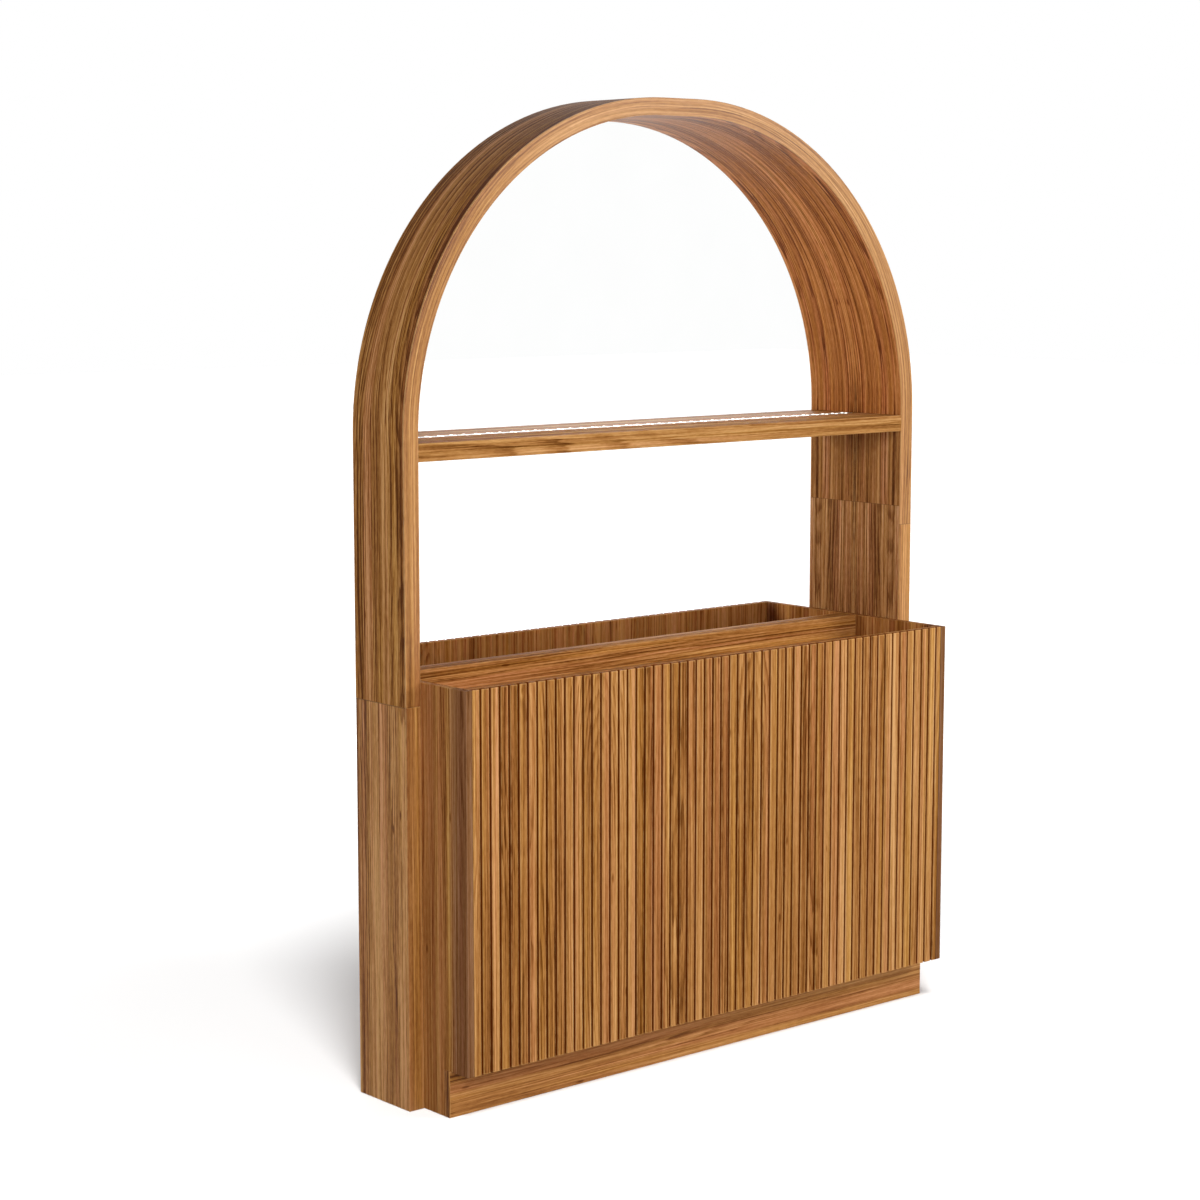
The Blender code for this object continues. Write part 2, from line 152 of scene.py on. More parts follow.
def make_veneer_figure():
    """Sliced veneer: growth rings of each leaf, broad bands, streaks, fibres, pores and pin knots."""
    tree, takes, gives = new_group(
        "veneer_figure",
        [("Grain", "Vector"), ("Tone", "Float"), ("Contrast", "Float"), ("Polish", "Float")],
        [("Colour", "Color"), ("Gloss", "Float"), ("Height", "Float")],
    )
    leaf_width, rings_per_metre, mid_tone = 0.11, 128.0, 0.61
    grain = takes["Grain"]
    _, across, through = axes_of(tree, grain)
    band = mottle(tree, grain, (0.42, 21.0, 21.0), 3.0, 0.6)
    streak = mottle(tree, grain, (1.3, 140.0, 140.0), 3.0, 0.6)
    line = mottle(tree, grain, (1.7, 300.0, 300.0), 3.0, 0.65)
    fleck = mottle(tree, grain, (52.0, 300.0, 300.0), 2.0, 0.6)
    fibre = mottle(tree, grain, (11.0, 620.0, 620.0), 2.0)
    pores = spread(tree, mottle(tree, grain, (24.0, 1350.0, 1350.0), 1.0), 0.60, 0.72, 0.0, 1.0)
    drift = mottle(tree, grain, (0.55, 5.0, 5.0), 2.0)
    slice_depth = mottle(tree, grain, (0.8, 2.0, 2.0), 1.0)
    patch = mottle(tree, grain, (1.2, 28.0, 28.0), 2.0)
    hue = mottle(tree, grain, (0.5, 40.0, 40.0), 2.0, 0.6)

    cross = calc(tree, "MULTIPLY_ADD", through, 0.45, across)
    cross = calc(tree, "MULTIPLY_ADD", drift, 0.06, cross)
    leaf = calc(tree, "PINGPONG", cross, leaf_width)
    heart = spread(tree, slice_depth, 0.3, 0.7, 0.008, 0.075)
    squares = calc(tree, "ADD", calc(tree, "MULTIPLY", leaf, leaf), calc(tree, "MULTIPLY", heart, heart))
    uneven = calc(tree, "MULTIPLY", streak, 1.3)
    rings = calc(tree, "MULTIPLY_ADD", calc(tree, "SQRT", squares), rings_per_metre, uneven)
    phase = calc(tree, "FRACT", rings)
    late = spread(tree, phase, 0.30, 0.90, 0.0, 1.0)
    late = calc(tree, "MULTIPLY", late, spread(tree, phase, 0.91, 1.0, 1.0, 0.0))
    late = calc(tree, "MULTIPLY", late, spread(tree, patch, 0.38, 0.66, 0.10, 1.0))

    knots = tree.nodes.new("ShaderNodeTexVoronoi")
    knots.inputs["Scale"].default_value = 1.0
    tree.links.new(calc_vector(tree, "MULTIPLY", grain, (7.0, 30.0, 30.0)), knots.inputs["Vector"])
    chosen = calc(tree, "LESS_THAN", axes_of(tree, knots.outputs["Color"])[0], 0.45)
    knot = calc(tree, "MULTIPLY", spread(tree, knots.outputs["Distance"], 0.03, 0.11, 1.0, 0.0), chosen)

    value = 0.0
    for field, weight in ((band, 1.15), (streak, 1.35), (line, 1.5), (fleck, 0.5), (fibre, 0.7)):
        value = calc(tree, "MULTIPLY_ADD", calc(tree, "SUBTRACT", field, 0.5), weight, value)
    for mark, weight in ((late, -0.40), (pores, -0.10), (knot, -0.45)):
        value = calc(tree, "MULTIPLY_ADD", mark, weight, value)
    value = calc(tree, "MULTIPLY_ADD", value, takes["Contrast"], mid_tone)
    value = calc(tree, "ADD", value, takes["Tone"])
    colour = ramp(tree, value, (
        (0.00, (0.105, 0.030, 0.005)),
        (0.25, (0.240, 0.087, 0.019)),
        (0.50, (0.420, 0.179, 0.048)),
        (0.75, (0.575, 0.280, 0.092)),
        (1.00, (0.740, 0.410, 0.165)),
    ))
    pinker = spread(tree, hue, 0.48, 0.66, 0.0, 0.75)
    yellower = spread(tree, hue, 0.32, 0.48, 0.75, 0.0)
    colour = blend(tree, pinker, colour, (0.97, 0.84, 1.0), "MULTIPLY")
    colour = blend(tree, yellower, colour, (1.0, 1.0, 0.74), "MULTIPLY")
    gloss = calc(tree, "SUBTRACT", spread(tree, streak, 0.25, 0.75, 0.44, 0.34), takes["Polish"])
    height = calc(tree, "MULTIPLY_ADD", pores, -0.6, calc(tree, "MULTIPLY", fibre, 0.5))
    for name, result in (("Colour", colour), ("Gloss", gloss), ("Height", height)):
        tree.links.new(result, gives[name])
    return tree


def make_arris_wear():
    """Where two faces of a board meet and the finish is rubbed, broken up along the edge."""
    tree, takes, gives = new_group(
        "arris_wear", [("Place", "Vector"), ("Low", "Vector"), ("High", "Vector")], [("Worn", "Float")]
    )
    least_width, most_width = 0.0009, 0.0036
    from_low = calc_vector(tree, "SUBTRACT", takes["Place"], takes["Low"])
    from_high = calc_vector(tree, "SUBTRACT", takes["High"], takes["Place"])
    x, y, z = axes_of(tree, calc_vector(tree, "MINIMUM", from_low, from_high))
    nearest = calc(tree, "MINIMUM", calc(tree, "MINIMUM", x, y), z)
    farthest = calc(tree, "MAXIMUM", calc(tree, "MAXIMUM", x, y), z)
    total = calc(tree, "ADD", calc(tree, "ADD", x, y), z)
    second = calc(tree, "SUBTRACT", total, calc(tree, "ADD", nearest, farthest))
    rub = mottle(tree, takes["Place"], (38.0, 38.0, 38.0), 3.0)
    width = spread(tree, rub, 0.35, 0.75, least_width, most_width)
    worn = spread(tree, calc(tree, "DIVIDE", second, width), 0.35, 1.0, 1.0, 0.0)
    tree.links.new(worn, gives["Worn"])
    return tree


def make_ply_edge():
    """Cut edge of plywood: light and dark layers through the board, each with its own fibres."""
    tree, takes, gives = new_group(
        "ply_edge", [("Depth", "Float"), ("Place", "Vector")], [("Colour", "Color")]
    )
    layer_pair, wander = 0.0034, 0.0006
    uneven = calc(tree, "SUBTRACT", mottle(tree, takes["Place"], (9.0, 9.0, 9.0), 2.0), 0.5)
    layer = calc(tree, "DIVIDE", calc(tree, "MULTIPLY_ADD", uneven, wander, takes["Depth"]), layer_pair)
    dark = spread(tree, calc(tree, "PINGPONG", layer, 0.5), 0.22, 0.28, 0.0, 1.0)
    speck = mottle(tree, takes["Place"], (420.0, 420.0, 420.0), 2.0, 0.6)
    pale = ramp(tree, speck, ((0.3, (0.44, 0.22, 0.080)), (0.7, (0.60, 0.34, 0.14))))
    deep = ramp(tree, speck, ((0.3, (0.17, 0.070, 0.022)), (0.7, (0.29, 0.13, 0.045))))
    tree.links.new(blend(tree, dark, pale, deep), gives["Colour"])
    return tree


veneer_figure = make_veneer_figure()
arris_wear = make_arris_wear()
ply_edge = make_ply_edge()


def new_finish(name):
    material = bpy.data.materials.new(name)
    material.use_nodes = True
    return material, material.node_tree, material.node_tree.nodes["Principled BSDF"]


def wear(node, material):
    """Give a carried-over node its finish."""
    nodes[node].data.materials.clear()
    nodes[node].data.materials.append(material)


def relief(tree, shader, height, depth):
    """Raise the surface by a height map of the given depth in metres."""
    bump = tree.nodes.new("ShaderNodeBump")
    bump.inputs["Strength"].default_value = 0.3
    bump.inputs["Distance"].default_value = depth
    tree.links.new(height, bump.inputs["Height"])
    tree.links.new(bump.outputs[0], shader.inputs["Normal"])


rubbed_wood = (0.72, 0.40, 0.14)


def veneer(
    node, order, cut, tone=0.0, contrast=1.0, polish=0.0, shine=0.08, grain_depth=0.0004, edges=None, shade=None
):
    """Lacquered veneer on one piece. order names the axes along, across and through the grain, or is a
    function that gives them; cut moves them to the piece's own leaf; tone may be a function of the place, on
    some pieces painted light; edges are the corners for the worn arrises; shade is a function that changes
    the colour with stains and joints, and on some pieces with painted shade."""
    material, tree, shader = new_finish(node)
    place = place_of(tree)
    if callable(order):
        grain, block = order(tree, place)
    else:
        axes = axes_of(tree, place)
        grain, block = joined(tree, *(axes[axis] for axis in order)), place
    low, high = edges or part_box(node)
    if callable(tone):
        tone = tone(tree, place)
    figure = add_group(
        tree, veneer_figure, Grain=calc_vector(tree, "ADD", grain, cut), Tone=tone, Contrast=contrast, Polish=polish
    )
    worn = add_group(tree, arris_wear, Place=block, Low=low, High=high)["Worn"]
    colour = blend(tree, calc(tree, "MULTIPLY", worn, 0.35), figure["Colour"], rubbed_wood)
    if shade:
        colour = shade(tree, place, colour)
    tree.links.new(colour, shader.inputs["Base Color"])
    tree.links.new(figure["Gloss"], shader.inputs["Roughness"])
    shader.inputs["Specular IOR Level"].default_value = shine
    relief(tree, shader, figure["Height"], grain_depth)
    wear(node, material)


leg_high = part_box("left_lower_leg")[1]
joint_stain = (0.10, 0.045, 0.018)


def make_back_edge():
    """The back edge of a leg or the arch, where the veneer stops and the ply is bare."""
    tree, takes, gives = new_group("back_edge", [("Place", "Vector")], [("Bare", "Float")])
    y = axes_of(tree, takes["Place"])["Y"]
    tree.links.new(spread(tree, y, leg_high.y - 0.0009, leg_high.y - 0.0004, 0.0, 1.0), gives["Bare"])
    return tree


def make_leg_joint():
    """The line just under the top of a leg, where the finish gathers in the joint with the arch."""
    tree, takes, gives = new_group("leg_joint", [("Place", "Vector")], [("Line", "Float")])
    z = axes_of(tree, takes["Place"])["Z"]
    lower_side = spread(tree, z, leg_high.z - 0.0020, leg_high.z - 0.0012, 0.0, 0.65)
    upper_side = spread(tree, z, leg_high.z - 0.0003, leg_high.z - 0.0001, 1.0, 0.0)
    tree.links.new(calc(tree, "MULTIPLY", lower_side, upper_side), gives["Line"])
    return tree


back_edge = make_back_edge()
leg_joint = make_leg_joint()


def ply_behind(depth_of):
    """Shade that shows the bare ply on the back edge; depth_of gives the way through its layers."""
    def shade(tree, place, colour):
        bare = add_group(tree, back_edge, Place=place)["Bare"]
        layers = add_group(tree, ply_edge, Depth=depth_of(tree, place), Place=place)["Colour"]
        return blend(tree, bare, colour, layers)
    return shade


ply_across = ply_behind(lambda tree, place: axes_of(tree, place)["X"])


def leg_shade(tree, place, colour):
    """Bare ply behind, and the dark joint under the arch."""
    line = add_group(tree, leg_joint, Place=place)["Line"]
    return blend(tree, line, ply_across(tree, place, colour), joint_stain)


veneer("left_lower_leg", "ZYX", (0.0, 0.31, 0.0), tone=0.05, contrast=1.25, shade=leg_shade)
veneer("right_lower_leg", "ZYX", (0.7, 0.92, 0.4), tone=0.05, contrast=1.25, shade=leg_shade)
veneer("left_leg_edging", "ZXY", (1.3, 0.35, 0.1), tone=-0.04, contrast=0.8, shine=0.2)
veneer("right_leg_edging", "ZXY", (2.6, 0.48, 0.3), tone=-0.04, contrast=0.8, shine=0.2)


# End panels of the base box
# Veneered boards with a toe notch, grain upright; each runs back inside its leg, is bolted to it from within
# and has its front edge lipped with the same wood beside the fluted front.
panel_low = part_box("right_end_panel")[0]
end_leaf = (2.1, 0.11, 0.3)
matt_lacquer = {"polish": -0.14, "shine": 0.005}


def make_end_stain_and_shade():
    """Darker and greyer towards the front; darker and redder at the back, a painted shade in the corner beside
    the leg; the front edge darker, and the lipping's joint with the fluted board."""
    tree, takes, gives = new_group(
        "end_stain_and_shade", [("Place", "Vector"), ("Veneer", "Color")], [("Colour", "Color")]
    )
    x, y, _ = axes_of(tree, takes["Place"])
    from_front = calc(tree, "SUBTRACT", y, panel_low.y)
    from_inside = calc(tree, "SUBTRACT", calc(tree, "ABSOLUTE", x), panel_low.x)
    greyer = spread(tree, from_front, 0.035, 0.068, 1.0, 0.0)
    shade_by_leg = spread(tree, from_front, 0.090, 0.115, 0.0, 1.0)
    lip = spread(tree, from_front, 0.0006, 0.0016, 1.0, 0.0)
    joint = calc(tree, "MULTIPLY", lip, spread(tree, from_inside, 0.0004, 0.0018, 0.7, 0.0))
    colour = blend(tree, greyer, takes["Veneer"], (0.55, 0.51, 0.68), "MULTIPLY")
    # Painted shade: darker and redder beside the leg.
    colour = blend(tree, shade_by_leg, colour, (0.76, 0.70, 0.65), "MULTIPLY")
    colour = blend(tree, calc(tree, "MULTIPLY", lip, 0.30), colour, (0.10, 0.045, 0.015))
    tree.links.new(blend(tree, joint, colour, (0.06, 0.022, 0.006)), gives["Colour"])
    return tree


end_stain_and_shade = make_end_stain_and_shade()


def end_shade(tree, place, colour):
    return add_group(tree, end_stain_and_shade, Place=place, Veneer=colour)["Colour"]


veneer("left_end_panel", "ZYX", end_leaf, contrast=0.8, shade=end_shade, **matt_lacquer)
veneer("right_end_panel", "ZYX", (3.4, 0.57, 0.9), contrast=0.8, shade=end_shade, **matt_lacquer)


# Fluted front
# One wide veneered board with square flutes run down its face and open at both ends, glued between the end
# panels. The slats keep the figure of the board, and the flutes are painted darker as shade, deepest at their
# floors.
flute_pitch = 0.02504
slat_width = 0.01924
front_low, front_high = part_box("fluted_front")


def along_slats(tree, place):
    """Upright grain, and each slat as a strip of its own for the worn arrises."""
    x, y, z = axes_of(tree, place)
    step = calc(tree, "MODULO", calc(tree, "SUBTRACT", x, front_low.x), flute_pitch)
    return joined(tree, z, x, y), joined(tree, step, y, z)


def make_painted_light_drift():
    """Painted light: the tone of a wide piece changes slowly from its left end to its right end."""
    tree, takes, gives = new_group(
        "painted_light_drift", [("Place", "Vector"), ("Left", "Float"), ("Right", "Float")], [("Tone", "Float")]
    )
    x = axes_of(tree, takes["Place"])["X"]
    tone = spread(tree, x, front_low.x, front_high.x, takes["Left"], takes["Right"], smooth=False)
    tree.links.new(tone, gives["Tone"])
    return tree


painted_light_drift = make_painted_light_drift()


def slat_tone(tree, place):
    """Each slat a little lighter or darker than the next at random, and painted light that lightens them left to
    right.
    """
    from_end = calc(tree, "SUBTRACT", axes_of(tree, place)["X"], front_low.x)
    chance = tree.nodes.new("ShaderNodeTexWhiteNoise")
    chance.noise_dimensions = "1D"
    tree.links.new(calc(tree, "FLOOR", calc(tree, "DIVIDE", from_end, flute_pitch)), chance.inputs["W"])
    own = spread(tree, chance.outputs["Value"], 0.0, 1.0, -0.09, 0.09, smooth=False)
    # Painted light: the slats darker at the left end and lighter at the right.
    drift = add_group(tree, painted_light_drift, Place=place, Left=-0.08, Right=0.07)["Tone"]
    return calc(tree, "ADD", own, drift)


def flute_painted_shade(tree, place, colour):
    """Painted shade: the flutes coloured darker towards their floors."""
    y = axes_of(tree, place)["Y"]
    # Painted shade: darker with depth into each flute.
    deep = spread(tree, y, front_low.y + 0.0006, front_low.y + 0.0042, 0.0, 0.95)
    deep = calc(tree, "MULTIPLY", deep, spread(tree, y, front_low.y + 0.0100, front_low.y + 0.0110, 1.0, 0.0))
    return blend(tree, deep, colour, (0.19, 0.036, 0.002))


veneer(
    "fluted_front", along_slats, (5.0, 0.4, 0.0), tone=slat_tone, contrast=0.8, shade=flute_painted_shade,
    edges=((0.0, front_low.y, front_low.z), (slat_width, front_high.y, front_high.z)), **matt_lacquer,
)


# Plinth, trough floor and rear rail
# Boards with level grain: the recessed plinth under the front, the worktop that is the trough's floor, and
# the upright rail at the foot of the mirror, with rounded edges and a flatter lacquer.
plinth_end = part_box("plinth_board")[1].x


def lipped_ends(tree, place, colour):
    """Upright veneer on the plinth's ends, as on the panels beside them."""
    x, y, z = axes_of(tree, place)
    end = calc(tree, "GREATER_THAN", calc(tree, "ABSOLUTE", x), plinth_end - 0.0006)
    upright = calc_vector(tree, "ADD", joined(tree, z, y, x), end_leaf)
    lipping = add_group(tree, veneer_figure, Grain=upright, Tone=-0.07, Contrast=1.0, Polish=0.0)["Colour"]
    return blend(tree, end, colour, lipping)


veneer("plinth_board", "XZY", (7.0, 0.13, 0.2), tone=-0.05, contrast=0.7, shade=lipped_ends)
veneer("worktop", "XYZ", (8.0, 0.6, 0.1), polish=0.06)
veneer("rear_rail", "XZY", (9.3, 0.45, 0.5), contrast=0.9, polish=-0.12, shine=0.005, grain_depth=0.00015)


# Boards inside the base
# Plain sealed birch plywood: deck, divider, stretcher, rear plinth and cleats, screwed and glued from inside,
# and the ledge that the mirror stands on.
def make_sheet_figure():
    """Rotary-cut face of plywood: broad bands and fine fibres."""
    tree, takes, gives = new_group(
        "sheet_figure", [("Grain", "Vector")], [("Colour", "Color"), ("Gloss", "Float"), ("Height", "Float")]
    )
    bands = mottle(tree, takes["Grain"], (1.6, 22.0, 22.0), 4.0, 0.55)
    fibre = mottle(tree, takes["Grain"], (18.0, 520.0, 520.0), 2.0)
    value = calc(tree, "MULTIPLY_ADD", calc(tree, "SUBTRACT", fibre, 0.5), 0.4, bands)
    colour = ramp(tree, value, (
        (0.25, (0.40, 0.23, 0.105)),
        (0.50, (0.52, 0.325, 0.16)),
        (0.75, (0.64, 0.43, 0.235)),
    ))
    gloss = spread(tree, bands, 0.3, 0.7, 0.62, 0.5)
    for name, result in (("Colour", colour), ("Gloss", gloss), ("Height", fibre)):
        tree.links.new(result, gives[name])
    return tree


def make_sheet_edge():
    """The cut edges of a sheet, within a hair of the corners given."""
    tree, takes, gives = new_group(
        "sheet_edge", [("Place", "Vector"), ("Low", "Vector"), ("High", "Vector")], [("Edge", "Float")]
    )
    from_low = calc_vector(tree, "SUBTRACT", takes["Place"], takes["Low"])
    from_high = calc_vector(tree, "SUBTRACT", takes["High"], takes["Place"])
    x, y, z = axes_of(tree, calc_vector(tree, "MINIMUM", from_low, from_high))
    nearest = calc(tree, "MINIMUM", calc(tree, "MINIMUM", x, y), z)
    tree.links.new(spread(tree, nearest, 0.0004, 0.0008, 1.0, 0.0), gives["Edge"])
    return tree


sheet_figure = make_sheet_figure()
sheet_edge = make_sheet_edge()
far_off = 9.0


def plywood(node, order, cut):
    """Rotary-cut plywood with layered edges across its thinnest way, on which its faces are no edges."""
    material, tree, shader = new_finish(node)
    low, high = (corner.copy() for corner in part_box(node))
    thin = min(range(3), key=lambda axis: high[axis] - low[axis])
    low[thin], high[thin] = -far_off, far_off
    place = place_of(tree)
    axes = axes_of(tree, place)
    grain = joined(tree, *(axes[axis] for axis in order))
    figure = add_group(tree, sheet_figure, Grain=calc_vector(tree, "ADD", grain, cut))
    edge = add_group(tree, sheet_edge, Place=place, Low=low, High=high)["Edge"]
    layers = add_group(tree, ply_edge, Depth=axes[thin], Place=place)["Colour"]
    tree.links.new(blend(tree, edge, figure["Colour"], layers), shader.inputs["Base Color"])
    tree.links.new(figure["Gloss"], shader.inputs["Roughness"])
    relief(tree, shader, figure["Height"], 0.0003)
    wear(node, material)


plywood("base_deck", "XYZ", (0.0, 0.0, 0.0))
plywood("rear_plinth", "XZY", (1.0, 0.2, 0.0))
plywood("front_stretcher", "XZY", (2.0, 0.4, 0.0))
plywood("centre_divider", "ZYX", (3.0, 0.6, 0.0))
cleats = ("left_worktop_cleat", "right_worktop_cleat", "left_deck_cleat", "right_deck_cleat")
for number, cleat in enumerate(cleats):
    plywood(cleat, "YXZ", (4.0 + number, 0.1 * number, 0.0))
plywood("mirror_ledge", "XYZ", (9.0, 0.3, 0.0))


# Bolts and dowels
# Zinc-plated furniture bolts pass from inside the end panels into the legs, and beech dowels stand in the
# leg tops, where the arch drops over them.
zinc_plate, tree, shader = new_finish("zinc_plate")
place = place_of(tree)
spangle = mottle(tree, place, (260.0, 260.0, 260.0), 2.0)
colour = ramp(tree, spangle, ((0.35, (0.50, 0.51, 0.50)), (0.65, (0.70, 0.71, 0.70))))
tree.links.new(colour, shader.inputs["Base Color"])
tree.links.new(spread(tree, spangle, 0.3, 0.7, 0.26, 0.42), shader.inputs["Roughness"])
shader.inputs["Metallic"].default_value = 1.0
relief(tree, shader, mottle(tree, place, (900.0, 900.0, 900.0), 2.0), 0.0001)

beech, tree, shader = new_finish("beech")
rays = mottle(tree, place_of(tree), (900.0, 900.0, 60.0), 2.0)
colour = ramp(tree, rays, ((0.3, (0.50, 0.30, 0.15)), (0.7, (0.68, 0.46, 0.27))))
tree.links.new(colour, shader.inputs["Base Color"])
shader.inputs["Roughness"].default_value = 0.62
relief(tree, shader, rays, 0.0003)

for side in ("left", "right"):
    for number in range(1, 5):
        wear(f"{side}_leg_bolt_{number}", zinc_plate)
    for end in ("front", "rear"):
        wear(f"{side}_{end}_dowel", beech)


# Back of the base, grommet and driver
# A stained board screwed on flush with the backs of the legs, with a moulded cable grommet low on one side;
# the LED driver lies behind it on the deck in a black case.
def stained(node, cut):
    """Matt stained veneer, as on a side that faces the wall."""
    material, tree, shader = new_finish(node)
    x, y, z = axes_of(tree, place_of(tree))
    grain = calc_vector(tree, "ADD", joined(tree, z, x, y), cut)
    figure = add_group(tree, veneer_figure, Grain=grain, Tone=-0.10, Contrast=1.0, Polish=-0.14)
    colour = blend(tree, 1.0, figure["Colour"], (0.86, 0.82, 0.84), "MULTIPLY")
    tree.links.new(colour, shader.inputs["Base Color"])
    tree.links.new(figure["Gloss"], shader.inputs["Roughness"])
    shader.inputs["Specular IOR Level"].default_value = 0.2
    relief(tree, shader, figure["Height"], 0.0005)
    wear(node, material)


def make_moulded_grain():
    """Black plastic with a fine spark-eroded grain."""
    tree, takes, gives = new_group(
        "moulded_grain", [("Place", "Vector")], [("Colour", "Color"), ("Gloss", "Float"), ("Height", "Float")]
    )
    pebble = mottle(tree, takes["Place"], (700.0, 700.0, 700.0), 3.0)
    colour = ramp(tree, pebble, ((0.3, (0.014, 0.014, 0.015)), (0.7, (0.032, 0.032, 0.034))))
    gloss = spread(tree, pebble, 0.3, 0.7, 0.42, 0.58)
    for name, result in (("Colour", colour), ("Gloss", gloss), ("Height", pebble)):
        tree.links.new(result, gives[name])
    return tree


stained("base_back", (30.0, 0.2, 0.0))
moulded_grain = make_moulded_grain()
for node, finish in (("cable_grommet", "grommet_plastic"), ("led_driver", "driver_case")):
    material, tree, shader = new_finish(finish)
    grain = add_group(tree, moulded_grain, Place=place_of(tree))
    tree.links.new(grain["Colour"], shader.inputs["Base Color"])
    tree.links.new(grain["Gloss"], shader.inputs["Roughness"])
    relief(tree, shader, grain["Height"], 0.0002)
    wear(node, material)


def around(loop):
    """Each point of a closed loop with the next one."""
    return list(zip(loop, loop[1:] + loop[:1]))


def screw_row(name, points, y, body):
    """Pan-head screws on a back board: one low dome with a cross recess for each point (x, z)."""
    sides, head_height, recess_floor, recess_taper = 24, 0.0021, 0.0009, 0.8
    profile = ((0.0041, 0.0), (0.0040, 0.0009), (0.0033, 0.0017), (0.0022, head_height))
    turns = [math.tau * step / sides for step in range(sides)]
    arm, reach = 0.00045, 0.0016
    cross = [
        (arm, reach), (arm, arm), (reach, arm), (reach, -arm), (arm, -arm), (arm, -reach),
        (-arm, -reach), (-arm, -arm), (-reach, -arm), (-reach, arm), (-arm, arm), (-arm, reach),
    ]
    bm = bmesh.new()
    for x, z in points:
        rings = []
        for radius, out in profile:
            circle = [(x + radius * math.cos(turn), y + out, z + radius * math.sin(turn)) for turn in turns]
            rings.append([bm.verts.new(point) for point in circle])
        top = [bm.verts.new((x + u, y + head_height, z + v)) for u, v in cross]
        bottom = [bm.verts.new((x + recess_taper * u, y + recess_floor, z + recess_taper * v)) for u, v in cross]
        bm.faces.new(list(reversed(rings[0])))
        bm.faces.new(list(reversed(bottom)))
        for first, second in (*zip(rings, rings[1:]), (top, bottom)):
            for (a, b), (c, d) in zip(around(first), around(second)):
                bm.faces.new((a, c, d, b))
        face_edges = [bm.edges.get(pair) for loop in (rings[-1], top) for pair in around(loop)]
        bmesh.ops.triangle_fill(bm, use_beauty=True, edges=face_edges)
    bmesh.ops.recalc_face_normals(bm, faces=bm.faces)
    mesh = bpy.data.meshes.new(name)
    bm.to_mesh(mesh)
    bm.free()
    mesh.materials.append(zinc_plate)
    screws = bpy.data.objects.new(name, mesh)
    bpy.context.scene.collection.objects.link(screws)
    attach(screws, body)


base_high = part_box("base_back")[1]
end_line, deck_line = 0.7156, 0.1106
points = [(side * end_line, height) for side in (-1, 1) for height in (0.05, 0.24, 0.43, 0.62, 0.81)]
points += [(x, deck_line) for x in (-0.54, -0.36, -0.18, 0.0, 0.18, 0.36, 0.54)] + [(0.0, 0.36), (0.0, 0.60)]
screw_row("base_back_screws", points, base_high.y, "base")


# Arch
# Two laminations bent over a former and glued together, with veneer that follows the bend and a solid edging
# over the front edge. Veneer leaves on the right leg are butted end to end below the shelf.
arch_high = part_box("arch_front_edging")[1]
crown_flat = 0.1016
crown_radius = arch_high.x - crown_flat / 2
spring = arch_high.z - crown_radius
ply_thick = 0.01905
inner_radius = crown_radius - 2 * ply_thick


def make_bent_grain():
    """Unrolls legs, corner arcs and flat crown: distance along the arch, depth, and distance from its middle."""
    tree, takes, gives = new_group("bent_grain", [("Place", "Vector")], [("Strip", "Vector")])
    x, y, z = axes_of(tree, takes["Place"])
    outward = calc(tree, "SUBTRACT", calc(tree, "ABSOLUTE", x), crown_flat / 2)
    upward = calc(tree, "SUBTRACT", z, spring)
    over = calc(tree, "MAXIMUM", outward, 0.0)
    above = calc(tree, "MAXIMUM", upward, 0.0)
    turn = calc(tree, "ARCTAN2", above, over)
    squares = calc(tree, "ADD", calc(tree, "MULTIPLY", over, over), calc(tree, "MULTIPLY", above, above))
    radius = calc(tree, "SQRT", squares)
    along = calc(tree, "MULTIPLY_ADD", turn, crown_radius, calc(tree, "MINIMUM", upward, 0.0))
    along = calc(tree, "SUBTRACT", along, calc(tree, "MINIMUM", outward, 0.0))
    along = calc(tree, "SUBTRACT", crown_radius * math.pi / 2 + crown_flat / 2, along)
    along = calc(tree, "MULTIPLY", along, calc(tree, "SIGN", x))
    tree.links.new(joined(tree, along, y, radius), gives["Strip"])
    return tree


def make_leaf_joint():
    """Butt joint of two leaves of veneer on the right leg: the hairline, and all that lies below it."""
    tree, takes, gives = new_group(
        "leaf_joint", [("Place", "Vector"), ("Height", "Float")], [("Line", "Float"), ("Below", "Float")]
    )
    x, _, z = axes_of(tree, takes["Place"])
    right = calc(tree, "GREATER_THAN", x, 0.0)
    off = calc(tree, "ABSOLUTE", calc(tree, "SUBTRACT", z, takes["Height"]))
    line = calc(tree, "MULTIPLY", spread(tree, off, 0.0003, 0.0011, 0.55, 0.0), right)
    below = calc(tree, "MULTIPLY", right, calc(tree, "LESS_THAN", z, takes["Height"]))
    tree.links.new(line, gives["Line"])
    tree.links.new(below, gives["Below"])
    return tree


bent_grain = make_bent_grain()
leaf_joint = make_leaf_joint()
next_leaf = 2.7


def strip_of(tree, place):
    """Distance along the arch, depth, and distance from its middle."""
    return axes_of(tree, add_group(tree, bent_grain, Place=place)["Strip"])


def round_arch(turned=False, joint=None):
    """Grain that follows the arch; turned puts the arch's thickness across the grain, as on the edging, and
    below a joint the right leg has a leaf from farther along the flitch."""
    def order(tree, place):
        along, depth, radius = strip_of(tree, place)
        if joint:
            below = add_group(tree, leaf_joint, Place=place, Height=joint)["Below"]
            along = calc(tree, "MULTIPLY_ADD", below, next_leaf, along)
        sides = (radius, depth) if turned else (depth, radius)
        return joined(tree, along, *sides), joined(tree, radius, depth, along)
    return order


